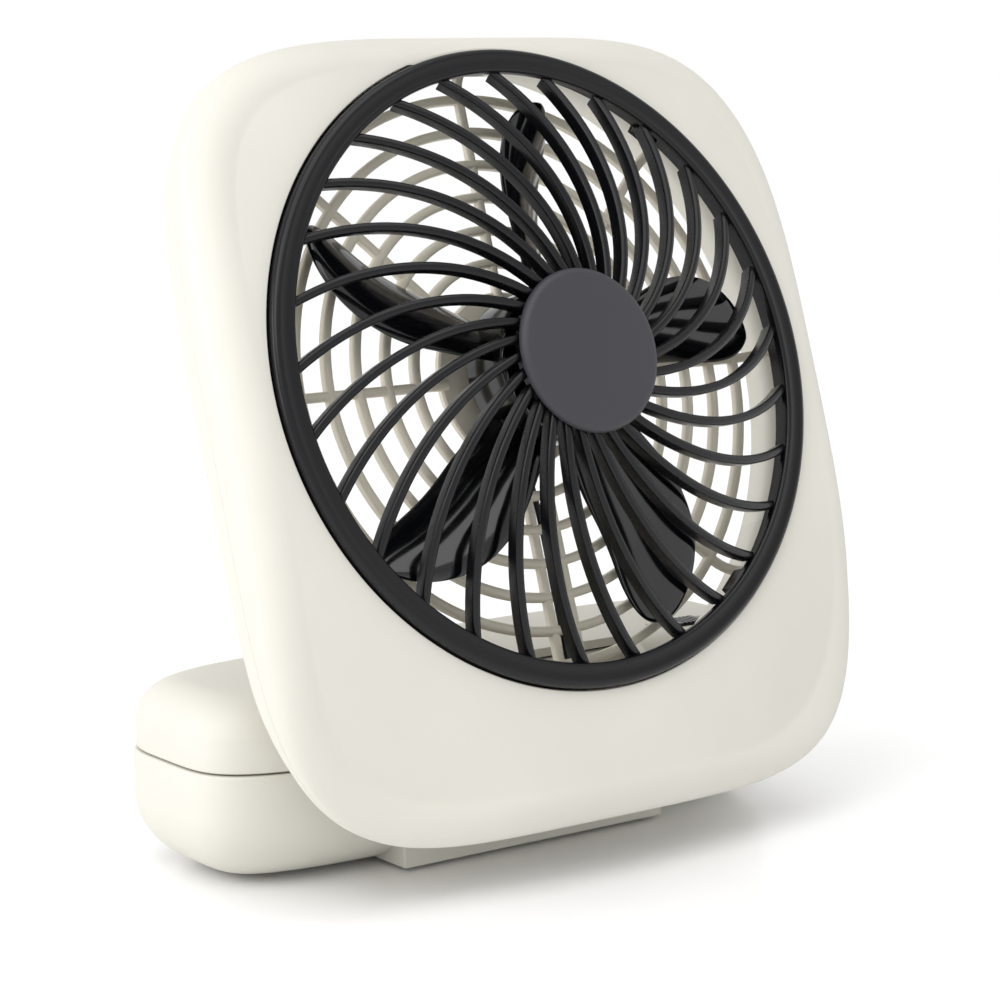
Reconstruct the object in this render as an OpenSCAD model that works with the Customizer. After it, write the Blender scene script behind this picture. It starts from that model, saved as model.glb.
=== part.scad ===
// Folding battery desk fan: a pillow-shaped head with a spiral front grille, hinged on a battery base.
// +X is the fan's left-hand side seen from behind its own face, +Y is backwards, +Z is up.
// The origin is on the surface that the feet stand on, under the middle of the bounding box.
// The head is designed in its own frame (x across, y up the face, z out of the face, zero at the
// ring's centre) and placed by in_head().

/* [Head shell] */
// Width of the head
head_w = 160; // [150:1:195]
// Height of the head
head_h = 172; // [164:1:210]
// How far the shell's centre lies below the ring's centre
head_drop = 11; // [6:0.5:14]
// Squareness of the head's outline, 2 is an ellipse
head_q = 5.6; // [4:0.1:8]
// Radius of the soft edge between face and sides
edge_r = 5; // [3:0.5:6]
// Wall thickness of the shells
wall = 2; // [1.6:0.1:2.6]
// Depth of the front shell, from its face to the split line
face_depth = 10; // [9:0.5:14]
// Depth of the rear shell, from the split line to its back
back_depth = 7.5; // [6:0.5:12]
// How far the face falls away at the corners
face_fall = 3; // [0:0.5:4]
// How far the back rises at the corners
back_rise = 6; // [0:0.5:6]
// Gap of the visible split lines
seam_gap = 0.3; // [0.1:0.1:0.6]

/* [Front grille] */
// Outer radius of the dark ring
ring_r = 70; // [64:0.5:72]
// Width of the ring's face
ring_w = 5.6; // [4:0.2:7]
// How far the ring stands proud of the face
ring_proud = 3; // [2:0.2:5]
// Number of swept ribs
rib_n = 29; // [12:1:36]
// Width of a rib
rib_w = 2.2; // [1.6:0.1:3]
// Depth of a rib, front to back
rib_t = 3.6; // [2.5:0.1:4.5]
// Radius of a rib's sweep, seen from the front
rib_arc = 56.8; // [50:0.1:70]
// Distance of the sweep's centre from the fan's axis
rib_off = 53.7; // [46:0.1:64]
// Turn of the first rib
rib_turn = 6.9; // [0:0.1:12]
// Height of the grille's dome above the ring
dome_h = 11.7; // [8:0.1:14]
// Radius of the round cap at the centre
cap_r = 17.8; // [15:0.1:20]
// Thickness of the cap
cap_t = 3; // [2.5:0.1:5]

/* [Rear grille] */
// Depth of the rear grille's face behind the ring
rear_n = 13.8; // [13:0.1:18]
// Thickness of its rings and spokes
rear_t = 2.4; // [2:0.1:3]
// Width of its rings and spokes
rear_w = 2.1; // [1.6:0.1:2.6]
// Number of rings
rear_rings = 6; // [4:1:7]
// Radius of the innermost ring
rear_ring_in = 26; // [24:0.5:28]
// Distance from the outermost ring to the grille's rim
rear_gap = 7; // [5:0.5:9]
// Number of spokes
spoke_n = 8; // [6:2:10]
// Radius of the motor's mounting plate
plate_r = 19.6; // [17:0.1:21]
// Distance between the two bars of the lowest spoke, which carry the leads between them
channel_w = 6; // [5:0.2:8]

/* [Impeller] */
// Gap between the blade tips and the ring, seen from the front
tip_gap = 2.9; // [2.5:0.1:8]
// Number of blades
blade_n = 5; // [3:1:7]
// Outer radius of the hub
hub_r = 16.8; // [15.4:0.1:18]
// Depth of the hub
hub_h = 13; // [10:0.5:14]
// Half width of a blade at its widest
blade_half = 9; // [6:0.5:11]
// Pitch of the blades at the hub
pitch_root = 40; // [25:1:45]
// Pitch of the blades at the tips
pitch_tip = 24; // [15:1:30]
// Thickness of a blade
blade_t = 1.3; // [1:0.1:1.8]
// Turn of the impeller at rest
blade_turn = 1; // [0:1:71]

/* [Motor] */
// Radius of the motor can
can_r = 12.2; // [11:0.1:13]
// Length of the motor, end bell included
can_l = 12.3; // [11:0.1:14]
// Radius of the motor shaft
shaft_r = 1; // [0.75:0.05:1.5]
// Running clearance of the shaft in its bushes, on the radius
run_fit = 0.03; // [0.01:0.01:0.08]

/* [Hinge] */
// Lean of the head at rest, measured from upright
head_tilt = 18.7; // [0:0.1:40]
// Radius of the hinge lugs
lug_r = 6; // [5:0.2:6.4]
// Thickness of each lug
lug_w = 8; // [6:0.5:10]
// Outside width over the two lugs
lug_span = 64; // [50:1:68]
// Radius of the hinge pin
pin_r = 1.5; // [1.2:0.1:2]
// Thickness of the friction washers
washer_t = 0.9; // [0.6:0.1:1.2]
// How far the hinge lies above the head's lower end, along the face
hinge_rise = 25.9; // [22:0.1:30]
// How far the hinge lies behind the ring's centre, square to the face
hinge_back = 34.7; // [33:0.1:40]
// Height of the hinge above the floor
hinge_z = 29; // [28:0.1:34]

/* [Base] */
// Width of the base
base_w = 159.4; // [150:1:190]
// Depth of the base, front to back
base_d = 53.8; // [52:0.5:64]
// Squareness of the base's outline
base_q = 4.2; // [3.6:0.1:6]
// Overall height of the base with its feet
base_h = 41.1; // [40:0.5:48]
// Height of the split line between the lower shell and the lid
base_seam = 25.7; // [22:0.5:30]
// Height of the edge where the lid's band meets its slope
lid_band = 33.9; // [30:0.5:36]
// Width of the lid's slope
lid_slope = 9.2; // [6:0.2:11]
// Radius of the bottom edge
base_fillet = 15.5; // [12:0.5:16]
// How far the lid's band is set in from the lower shell
lid_inset = 0.5; // [0.2:0.1:1]
// Distance from the base's front to the hinge
hinge_in = 5.5; // [5:0.1:8]
// Half width of the lip that the base rests on in front
lip_half = 36; // [30:0.5:40]
// Height of the feet below the shell
foot_h = 0.8; // [0.5:0.1:1.5]

/* [Batteries] */
// Radius of a D cell
cell_r = 17.1; // [16.6:0.1:17.1]
// Length of a D cell with its button
cell_l = 61.5; // [59:0.1:61.5]
// Half width of the battery door
door_half = 56; // [50:1:58]
// Clearance around the battery door
door_gap = 0.25; // [0.15:0.05:0.4]

/* [Switch] */
// Distance of the switch from the middle of the lid
switch_x = 54; // [50:0.5:58]
// Travel of the switch each way from off
switch_travel = 3.5; // [2.5:0.5:4]
// Height of the knob above its recess
knob_h = 1.5; // [1:0.1:1.6]

/* [Hidden] */
$fn = 64;

shell_col = "#e0dbd2";
rear_col = "#cfc9b8";
dark_col = "#3a3a40";
black_col = "#16161c";
steel_col = "#c4c6c8";
brass_col = "#c9a24e";

seg = 80;                                  // points round an outline
face_steps = 6;                            // loops across the face
fillet_steps = 4;                          // loops round an edge
half_w = head_w / 2;
half_h = head_h / 2;
head_top = half_h - head_drop;             // ends of the head, above and below the ring's centre
head_foot = -half_h - head_drop;
hinge_drop = -head_foot - hinge_rise;
fan_r = ring_r - ring_w - tip_gap;         // radius to the blade tips
rear_pitch = (ring_r - rear_gap - rear_ring_in) / (rear_rings - 1);
open_r = ring_r - 1.1;                     // opening in the front shell
seat_r = open_r - 0.3;                     // the grille's wall inside that opening
duct_r = ring_r + 1.2;                     // inside of the rear shell's duct
duct_t = 1.4;
flat_r = ring_r + 4;                       // the face is flat inside this radius
face_n = -ring_proud;                      // height of the face in the head's frame
inner_n = face_n - wall;                   // underside of the face
split_n = face_n - face_depth;             // split line of the head
back_n = split_n - back_depth;             // back of the head
pad_r = ring_r + 12;                       // the back is flat inside this radius
pad_low = 18;                              // and for this much more below the centre
hub_top = 4.2;                             // front of the impeller's hub
plate_n = -rear_n - 1.2;                   // front of the motor plate
can_top = plate_n + can_l;                 // front of the motor can
shaft_top = hub_top - 0.4;
rib_in = 15;                               // the ribs start here, under the cap
base_front = -hinge_in;                    // all base depths are measured from the hinge
base_y = base_front + base_d / 2;
hinge_y = -5.87;                           // puts the origin under the middle of the box
floor_z = foot_h;
floor_in = foot_h + wall + 0.2;
cell_z = floor_in + 0.2 + cell_r;
cheek_t = 2.4;
bay_half = lug_span / 2 + washer_t + 0.1;
bay_floor = 14;
bay_back = lug_r + 0.6;
bay_wall = 1.8;
cell_y = bay_back + bay_wall + 0.2 + cell_r;   // cell axis behind the hinge
spring_room = 6;                           // from the left cell to the wall behind its spring
stop_t = 1.6;                              // walls at the cells' ends
lid_top = base_h - wall;
tab_l = 3;                                 // the battery door's tabs, half-lapped into the floor
tab_half = 6;
tab_x = 30;
door_front = bay_back + bay_wall + tab_l + 0.1;
door_top = 17;
plate_t = 0.4;
switch_y = 9;
post_top = base_seam - 2.6;                // where the shell's screw posts meet the lid's
screw_seat = 9.5;                          // under the heads of the base's screws
lead_r = 0.75;                             // leads, and half the distance between two of them
lead_half = 1.1;
lead_hole_r = 3;
lead_z = -rear_n - rear_t - lead_r - 0.15;
dish = 0.7;                                // depth of the recess round the switch knob
screw_spots = [for (s = [-1, 1]) each [[s * (half_w - 18), head_top - 18],
                                       [s * (half_w - 16), head_foot + 21]]];
bracket_spots = [[16, head_foot + 14], [-16, head_foot + 14], [0, head_foot + 10]];
lead_hole = [0, head_foot + 18];           // where the leads leave the head
base_spots = [for (s = [-1, 1]) each [[s * (base_w / 2 - 13.7), base_front + 11.5],
                                      [s * (base_w / 2 - 11.7), base_front + base_d - 12.3]]];

// ---- helpers ----

function smooth(t) = let (k = min(max(t, 0), 1)) k * k * (3 - 2 * k);
function mix(a, b, s) = a * (1 - s) + b * s;
// A point of a superellipse with half sizes a and b, in the direction t
function oval(a, b, q, t) =
    let (c = cos(t), s = sin(t), r = pow(pow(abs(c) / a, q) + pow(abs(s) / b, q), -1 / q)) [r * c, r * s];
function head_pt(off, t) = oval(half_w - off, half_h - off, head_q, t) - [0, head_drop];
function base_pt(off, t) = oval(base_w / 2 - off, base_d / 2 - off, base_q, t) + [0, base_y];
// How much a point counts as a corner, 0 on the middles of the sides and 1 on the diagonals
function corner(p) =
    let (u = pow(p.x / half_w, 2), v = pow((p.y + head_drop) / half_h, 2))
    4 * u * v / pow(u + v, 2);
// Height of the face and of the back over a point of the head
function face_at(p) =
    face_n - face_fall * pow(max(norm(p) - flat_r, 0) / 20, 1.6) * (0.35 + 0.65 * corner(p)) / 2;
function back_at(p) =
    let (r = norm([p.x, max(p.y, 0) + min(p.y + pad_low, 0)]))
    back_n + back_rise * smooth((r - pad_r) / 16);
function dome_at(r) =
    let (s = (r - rib_in) / (ring_r - ring_w - rib_in)) dome_h * (1 - s * s) - 0.2;

function at_z(p, z) = [p.x, p.y, z];
function loop_faces(n, m, closed) =
    [for (j = [0:m - (closed ? 1 : 2)]) for (i = [0:n - 1])
        let (a = j * n + i, b = j * n + (i + 1) % n, k = (j + 1) % m, c = k * n + (i + 1) % n, d = k * n + i)
        each [[a, d, c], [a, c, b]]];
// A closed skin through loops of points, the last loop joined to the first, running outwards over the front
module ring_skin(loops) {
    n = len(loops[0]);
    m = len(loops);
    polyhedron([for (k = [m - 1:-1:0]) each loops[k]], loop_faces(n, m, true), convexity = 8);
}
// A closed skin through loops of points, the first and last loop capped
module cup_skin(loops) {
    n = len(loops[0]);
    m = len(loops);
    polyhedron([for (l = loops) each l],
        concat(loop_faces(n, m, false), [[for (i = [0:n - 1]) i]],
            [[for (i = [n - 1:-1:0]) (m - 1) * n + i]]),
        convexity = 8);
}

// Catmull-Rom points along a route
function route(p, k) =
    [for (i = [0:len(p) - 2]) for (j = [0:k - 1])
        let (t = j / k, a = p[max(i - 1, 0)], b = p[i], c = p[i + 1], d = p[min(i + 2, len(p) - 1)])
        0.5 * (2 * b + (c - a) * t + (2 * a - 5 * b + 4 * c - d) * t * t
               + (3 * b - a - 3 * c + d) * t * t * t),
     p[len(p) - 1]];
function unit(v) = v / norm(v);
// A round tube of radius r along points p; up must not lie along the tube
module tube(p, r, sides, up) {
    m = len(p);
    loops = [for (i = [0:m - 1])
        let (t = unit(p[min(i + 1, m - 1)] - p[max(i - 1, 0)]), a = unit(cross(t, up)), b = cross(t, a))
        [for (k = [0:sides - 1]) p[i] + r * (cos(k * 360 / sides) * a + sin(k * 360 / sides) * b)]];
    cup_skin([for (i = [m - 1:-1:0]) loops[i]]);
}

module in_head() {
    translate([0, hinge_y, hinge_z]) rotate([90 - head_tilt, 0, 0]) translate([0, hinge_drop, hinge_back])
        children();
}
module in_base() {
    translate([0, hinge_y, 0]) children();
}
// A disc or tube lying along z between two heights
module bar(r, z0, z1) {
    translate([0, 0, z0]) cylinder(r = r, h = z1 - z0);
}
module pipe(r0, r1, z0, z1) {
    difference() {
        bar(r1, z0, z1);
        bar(r0, z0 - 1, z1 + 1);
    }
}
// A rounded box standing on z0
module pad(x0, x1, y0, y1, z0, z1) {
    translate([x0, y0, z0]) cube([x1 - x0, y1 - y0, z1 - z0]);
}
// A pan-head screw pointing along +z, its head's underside at z = 0
module screw(r, len, head, head_h) {
    difference() {
        union() {
            bar(r, -0.1, len);
            bar(head, -head_h, 0);
        }
        for (a = [0, 90]) rotate([0, 0, a])
            pad(-head * 0.6, head * 0.6, -0.25, 0.25, -head_h - 0.1, -head_h + 0.7);
    }
}

// ---- head ----

module front_shell() {
    angles = [for (i = [0:seg - 1]) i * 360 / seg];
    function edge(t) = head_pt(edge_r, t);
    function rim(t) = open_r * unit(edge(t));
    face = [for (k = [0:face_steps]) [for (t = angles)
        let (p = mix(rim(t), edge(t), k / face_steps)) at_z(p, face_at(p))]];
    fillet = [for (k = [1:fillet_steps]) let (a = k * 90 / fillet_steps) [for (t = angles)
        at_z(head_pt(edge_r * (1 - sin(a)), t), face_at(edge(t)) - edge_r * (1 - cos(a)))]];
    sides = [for (off = [0, wall]) [for (t = angles) at_z(head_pt(off, t), split_n)]];
    in_r = edge_r - wall;
    in_fillet = [for (k = [2:-1:1]) let (a = k * 45) [for (t = angles)
        at_z(head_pt(wall + in_r * (1 - sin(a)), t), face_at(edge(t)) - wall - in_r * (1 - cos(a)))]];
    in_face = [for (k = [3:-1:0]) [for (t = angles)
        let (p = mix(rim(t), edge(t), k / 3)) at_z(p, face_at(p) - wall)]];
    color(shell_col) in_head() difference() {
        union() {
            ring_skin(concat(face, fillet, sides, in_fillet, in_face));
            for (s = screw_spots) translate(s) bar(3.6, split_n + 1, face_at(s) - wall / 2);
        }
        for (s = screw_spots) translate(s) bar(1.1, split_n, face_at(s) - wall);
    }
}

module rear_shell() {
    angles = [for (i = [0:seg - 1]) i * 360 / seg];
    rim_z = split_n - seam_gap;
    function edge(t) = head_pt(edge_r, t);
    function soft(t) = min(edge_r - 0.5, rim_z - 0.4 - back_at(edge(t)));
    function hole(t) = duct_r * unit(edge(t));
    outer = [[for (t = angles) at_z(head_pt(seam_gap, t), rim_z)],
        for (k = [0:fillet_steps]) let (a = k * 90 / fillet_steps) [for (t = angles)
            at_z(head_pt(seam_gap + (edge_r - seam_gap) * (1 - cos(a)), t),
                back_at(edge(t)) + soft(t) * (1 - sin(a)))]];
    back = [for (k = [1:4]) [for (t = angles)
        let (p = mix(edge(t), hole(t), k / 4)) at_z(p, back_at(p))]];
    function duct_out(t) = hole(t) * (duct_r + duct_t) / duct_r;
    duct = [[for (t = angles) at_z(hole(t), inner_n - 1.8)],
            [for (t = angles) at_z(duct_out(t), inner_n - 1.8)]];
    inner = [for (k = [3:-1:0]) [for (t = angles)
        let (p = mix(head_pt(wall + seam_gap + 0.3, t), duct_out(t), k / 3))
        at_z(p, back_at(p) + wall)]];
    lip = [[for (t = angles) at_z(head_pt(wall + seam_gap + 0.3, t), rim_z)]];
    color(shell_col) in_head() difference() {
        union() {
            ring_skin(concat(outer, back, duct, inner, lip));
            for (s = screw_spots) translate(s) bar(4.2, back_at(s) + wall / 2, split_n + 1);
        }
        for (s = screw_spots) translate(s) {
            bar(1.5, back_n - 1, split_n + 2);
            bar(3.2, back_n - 1, back_at(s) + wall + 0.5);
        }
        for (s = bracket_spots) translate(s) bar(1.1, back_n - 1, back_n + wall + 1);
        translate(lead_hole) bar(lead_hole_r, back_n - 1, back_n + wall + 1);
        pad(-lead_hole_r + 0.6, lead_hole_r - 0.6, -duct_r - 2.5, -duct_r + 1.5, lead_z - 1.2, lead_z + 1.2);
    }
}

module spoke_outline() {
    r_in = plate_r - 1.5;
    bend = 7;
    r_flat = open_r + 1.8 - bend;
    leg = rear_w - 0.2;
    top = -rear_n;
    bottom = top - rear_t;
    polygon(concat(
        [[r_in, top], [r_flat, top]],
        [for (a = [18:18:90]) [r_flat + (bend - leg) * sin(a), top + (bend - leg) * (1 - cos(a))]],
        [[r_flat + bend - leg, inner_n - 0.5], [r_flat + bend, inner_n - 0.5]],
        [for (a = [90:-18:0]) [r_flat + bend * sin(a), bottom + bend * (1 - cos(a))]],
        [[r_in, bottom]]));
}

module rear_grille() {
    color(rear_col) in_head() difference() {
        union() {
            pipe(seat_r + 0.2, duct_r - 0.4, inner_n - 2, inner_n - 0.3);
            for (k = [0:rear_rings - 1]) let (r = rear_ring_in + k * rear_pitch)
                pipe(r - rear_w / 2, r + rear_w / 2, -rear_n - rear_t, -rear_n);
            for (k = [0:spoke_n - 1]) let (a = k * 360 / spoke_n) if (abs(a - 270) > 1)
                rotate([0, 0, a]) translate([0, rear_w / 2, 0]) rotate([90, 0, 0])
                    linear_extrude(rear_w) spoke_outline();
            for (s = [-1, 1]) rotate([0, 0, 270])
                translate([0, rear_w / 2 + s * channel_w / 2, 0]) rotate([90, 0, 0])
                linear_extrude(rear_w) spoke_outline();
            bar(plate_r, plate_n - 2, plate_n);
        }
        bar(3.4, plate_n - 3, plate_n + 1);
        for (s = [-1, 1]) {
            translate([8 * s, 0, 0]) bar(1.15, plate_n - 3, plate_n + 1);
            translate([0, 8 * s, 0]) pad(-2.2, 2.2, -1.2, 1.2, plate_n - 3, plate_n + 1);
        }
    }
}

module ring_outline() {
    out = ring_r;
    inn = ring_r - ring_w;
    round_out = 2.4;
    round_in = 0.8;
    polygon(concat(
        [[seat_r - 1.2, inner_n - 2], [seat_r, inner_n - 2], [seat_r, face_n + 0.1], [out, face_n + 0.1]],
        [for (a = [0:15:90]) [out - round_out * (1 - cos(a)), 0.8 - round_out * (1 - sin(a))]],
        [for (a = [0:30:90]) [inn + round_in * (1 - sin(a)), 0.8 - round_in * (1 - cos(a))]],
        [[inn, -1.2], [seat_r - 1.2, -1.4]]));
}

module front_grille() {
    steps = 6;
    radii = [for (k = [0:steps]) mix(rib_in, ring_r - ring_w + 0.6, k / steps)];
    color(dark_col) in_head() {
        rotate_extrude($fn = 96) ring_outline();
        intersection() {
            rotate_extrude($fn = 58) polygon(concat(
                [for (r = radii) [r, dome_at(r)]],
                [for (k = [steps:-1:0]) [radii[k], dome_at(radii[k]) - rib_t]]));
            for (k = [0:rib_n - 1]) rotate([0, 0, k * 360 / rib_n + rib_turn])
                intersection() {
                    translate([0, rib_off, 0])
                        pipe(rib_arc - rib_w / 2, rib_arc + rib_w / 2, -4, dome_h + 2, $fn = 48);
                    pad(-2, ring_r, -ring_r, ring_r, -4, dome_h + 2);
                }
        }
        bar(cap_r - 1.4, dome_at(rib_in) - 3, dome_at(rib_in));
        for (a = [50, 130, 230, 310]) rotate([0, 0, a]) {
            pad(seat_r - 2.2, seat_r - 1, -3, 3, inner_n - 3.4, inner_n);
            pad(seat_r - 2.2, seat_r + 1.4, -3, 3, inner_n - 3.4, inner_n - 2.15);
        }
    }
}

module grille_cap() {
    low = dome_at(rib_in);
    round_r = 1.6;
    color("#5a5a60") in_head() rotate_extrude($fn = 96) polygon(concat(
        [[0, low], [cap_r - 0.5, low], [cap_r, low + 0.5]],
        [for (a = [0:22.5:90]) [cap_r - round_r * (1 - cos(a)), low + cap_t - 0.6 - round_r * (1 - sin(a))]],
        [[cap_r * 0.5, low + cap_t - 0.15], [0, low + cap_t]]));
}

// ---- impeller and motor ----

// Half width, centre line and mid height of a blade at a radius
function blade_half_at(r) = let (s = fan_r - 14.5)
    r < s ? mix(5.6, blade_half, sin(90 * max(r - hub_r, 0) / (s - hub_r)))
          : blade_half * sqrt(max(1 - pow((r - s) / (fan_r - s), 2), 0.0004));
function blade_mid_at(r) = 12 - 10 * pow(max(r - 35, 0) / (fan_r - 35), 1.6);
function blade_z_at(r) = mix(-3, -7.4, (r - hub_r) / (fan_r - hub_r));
function blade_pt(r, s, side) =
    let (h = blade_half_at(r), a = blade_mid_at(r) + s * h / r * 180 / PI,
         pitch = mix(pitch_root, pitch_tip, (r - hub_r) / (fan_r - hub_r)),
         z = blade_z_at(r) + s * h * tan(pitch) + 1.4 * (1 - s * s) * h / blade_half,
         t = side * blade_t / 2 * sqrt(max(1 - pow(abs(s), 4), 0)))
    [r * cos(a), r * sin(a), z + t];

module blade() {
    rows = 12;
    across = 6;
    // the last rows crowd towards the rounded tip
    radii = [for (k = [0:rows]) hub_r - 0.8 + (fan_r - hub_r + 0.8) * sin(90 * k / rows)];
    loops = [for (r = radii) concat(
        [for (i = [0:across]) blade_pt(r, -1 + 2 * i / across, 1)],
        [for (i = [across - 1:-1:1]) blade_pt(r, -1 + 2 * i / across, -1)])];
    cup_skin([for (k = [rows:-1:0]) loops[k]]);
}

module impeller() {
    color(black_col) in_head() {
        difference() {
            union() {
                bar(hub_r, hub_top - hub_h, hub_top - 0.8);
                translate([0, 0, hub_top - 0.8]) cylinder(r1 = hub_r, r2 = hub_r - 0.8, h = 0.8);
            }
            bar(hub_r - 1.6, hub_top - hub_h - 1, hub_top - 2);
            bar(shaft_r + 0.02, hub_top - 3, hub_top - 0.6);
        }
        pipe(shaft_r + 0.02, 3, can_top + 1.2, hub_top - 1.9);
        for (k = [0:blade_n - 1]) rotate([0, 0, k * 360 / blade_n + blade_turn]) blade();
    }
}

module motor_shaft() {
    color(steel_col) in_head() bar(shaft_r, plate_n - 0.6, shaft_top - 0.4);
}

bell_t = 2.2;
core_r = can_r - 3.9;
core_z0 = plate_n + bell_t + 2.6;
core_z1 = can_top - 2.6;

module armature_core() {
    color("#8a8c90") in_head() translate([0, 0, core_z0]) linear_extrude(core_z1 - core_z0)
        difference() {
            union() {
                circle(3);
                for (a = [90:120:330]) rotate(a) {
                    translate([1, -1.1]) square([core_r - 2, 2.2]);
                    intersection() {
                        circle(core_r);
                        translate([core_r - 1.6, -5.2]) square([3, 10.4]);
                    }
                }
            }
            circle(shaft_r + 0.02);
        }
}

module armature_windings() {
    color("#b5652b") in_head() for (a = [90:120:330]) rotate([0, 0, a]) difference() {
        pad(3.3, core_r - 2, -2.6, 2.6, core_z0 - 0.8, core_z1 + 0.8);
        pad(3, core_r - 1, -1.15, 1.15, core_z0 - 0.05, core_z1 + 0.05);
    }
}

module commutator() {
    color(brass_col) in_head() difference() {
        bar(2.4, plate_n + bell_t + 0.3, core_z0 - 1);
        bar(shaft_r + 0.02, plate_n, core_z0);
        for (a = [0:120:240]) rotate([0, 0, a]) pad(1.8, 3, -0.15, 0.15, plate_n, core_z0);
    }
}

module motor_can() {
    color(steel_col) in_head() difference() {
        union() {
            bar(can_r, plate_n + bell_t, can_top);
            bar(3.4, can_top - 0.1, can_top + 0.8);
        }
        bar(can_r - 0.8, plate_n + bell_t - 1, can_top - 0.8);
        bar(2.4, can_top - 2, can_top + 2);
    }
}

module motor_magnets() {
    color("#4a4a4c") in_head() for (a = [0, 180]) rotate([0, 0, a]) intersection() {
        pipe(core_r + 0.5, can_r - 0.85, plate_n + bell_t + 1.2, can_top - 1.4);
        pad(0, can_r, -can_r * 0.66, can_r * 0.66, plate_n, can_top);
    }
}

module motor_end_bell() {
    color("#2b2b2e") in_head() difference() {
        union() {
            bar(can_r, plate_n, plate_n + bell_t);
            pipe(can_r - 2.4, can_r - 0.9, plate_n + bell_t - 0.1, plate_n + bell_t + 1);
        }
        bar(2.4, plate_n - 1, plate_n + bell_t + 1);
        for (s = [-1, 1]) {
            translate([8 * s, 0, 0]) bar(0.95, plate_n - 1, plate_n + bell_t - 0.4);
            translate([0, 8 * s, 0]) pad(-1.3, 1.3, -0.3, 0.3, plate_n - 1, plate_n + bell_t + 1);
        }
    }
}

module motor_bushes() {
    color("#a8743a") in_head() {
        pipe(shaft_r + run_fit, 2.4, can_top - 1.6, can_top + 0.8);
        pipe(shaft_r + run_fit, 2.4, plate_n, plate_n + bell_t - 0.2);
    }
}

module motor_brushes() {
    color(brass_col) in_head() for (s = [-1, 1]) {
        pad(-0.55 + s * 3.05, 0.55 + s * 3.05, -0.5, 0.5, plate_n + bell_t + 0.4, plate_n + bell_t + 1.4);
        pad(s * 3.7 - 0.15, s * 3.7 + 0.15, -0.5, 5.5, plate_n + bell_t + 0.4, plate_n + bell_t + 1.4);
    }
}

module motor_terminals() {
    color(brass_col) in_head() for (s = [-1, 1]) translate([0, 8 * s, 0])
        pad(-1.2, 1.2, -0.2, 0.2, plate_n - 4.2, plate_n + bell_t + 0.4);
}

module motor_screws() {
    color(steel_col) in_head() for (s = [-1, 1])
        translate([8 * s, 0, plate_n - 2]) screw(0.95, 3.6, 1.9, 1.2);
}

module head_screws() {
    color(steel_col) in_head() for (s = screw_spots) let (seat = back_at(s) + wall + 0.5)
        translate([s.x, s.y, seat]) screw(1.05, split_n - seat + 2.1, 2.6, 1.6);
}

// The leads run down the channel behind the rings, through a window in the duct and out by the hinge
module head_leads() {
    back = plate_n - 3.4;
    out = lead_hole.y;
    from_top = [[0.4, 7, back], [2.8, 0, back - 0.4], [2.7, -8, back]];
    from_foot = [[-0.4, -9, back], [-0.9, -11, back]];
    function run(x) = [[x, -14, back], [x, -21, back + 0.3], [x, -32, lead_z], [x, -50, lead_z],
        [x, -duct_r + 4, lead_z], [x, out + 5, lead_z], [x, out + 1, lead_z - 0.8], [x, out, back_n + 0.3],
        [x, out, back_n - 2.4], [x, out + 2, back_n - 8]];
    color("#1c1c1e") in_head() for (s = [-1, 1])
        tube(route(concat(s > 0 ? from_top : from_foot, run(lead_half * s)), 4), lead_r, 8, [1, 0.05, 0.02]);
}

module tilt_bracket() {
    low = head_foot + 7;
    high = head_foot + 20.6;
    foot_t = 2.2;
    color(shell_col) in_head() difference() {
        union() {
            pad(-lug_span / 2, lug_span / 2, low, high, back_n - foot_t, back_n);
            for (s = [-1, 1]) translate([s * (lug_span / 2 - lug_w / 2) + lug_w / 2, 0, 0])
                rotate([0, -90, 0]) linear_extrude(lug_w) {
                    translate([-hinge_back, -hinge_drop]) circle(lug_r);
                    polygon([[back_n - 1, high], [back_n - 1, low],
                             [-hinge_back - lug_r * 0.82, -hinge_drop - lug_r * 0.57],
                             [-hinge_back + lug_r * 0.5, -hinge_drop + lug_r * 0.86]]);
                }
        }
        translate([0, -hinge_drop, -hinge_back]) rotate([0, 90, 0]) bar(pin_r + 0.05, -lug_span, lug_span);
        for (s = bracket_spots) translate(s) bar(1.5, back_n - 4, back_n + 1);
        translate(lead_hole) bar(lead_hole_r, back_n - 4, back_n + 1);
    }
}

module bracket_screws() {
    color(steel_col) in_head() for (s = bracket_spots)
        translate([s.x, s.y, back_n - 2.2]) screw(1.05, 4, 2.4, 1.3);
}

// ---- base ----

module hinge_pin() {
    color(steel_col) in_base() translate([0, 0, hinge_z]) rotate([0, 90, 0])
        bar(pin_r, -bay_half - cheek_t - 1, bay_half + cheek_t + 1);
}

module friction_washers() {
    color("#f0f0ea") in_base() for (s = [-1, 1])
        translate([s * (lug_span / 2 + 0.05 + washer_t / 2), 0, hinge_z])
        rotate([0, 90, 0]) pipe(pin_r + 0.05, lug_r - 1, -washer_t / 2, washer_t / 2);
}

module base_skin() {
    angles = [for (i = [0:seg - 1]) i * 360 / seg];
    in_r = base_fillet - wall;
    outer = [for (k = [0:6]) let (a = k * 15) [for (t = angles)
        at_z(base_pt(base_fillet * (1 - sin(a)), t), floor_z + base_fillet * (1 - cos(a)))]];
    rims = [for (off = [0, wall]) [for (t = angles) at_z(base_pt(off, t), base_seam)]];
    inner = [for (k = [6:-1:0]) let (a = k * 15) [for (t = angles)
        at_z(base_pt(wall + in_r * (1 - sin(a)), t), floor_in + in_r * (1 - cos(a)))]];
    cup_skin(concat(outer, rims, inner));
}

module cheek_outline() {
    back = bay_back + bay_wall;
    polygon([[base_front + 1, bay_floor - 2], [base_front + 1, base_seam - 3.2],
             [base_front + 3.2, base_seam - 3.2], [base_front + 3.2, lid_band - 2.7],
             [base_front + 11.1, lid_top - 0.5], [back, lid_top - 0.5],
             [back, bay_floor - 2]]);
}

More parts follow.
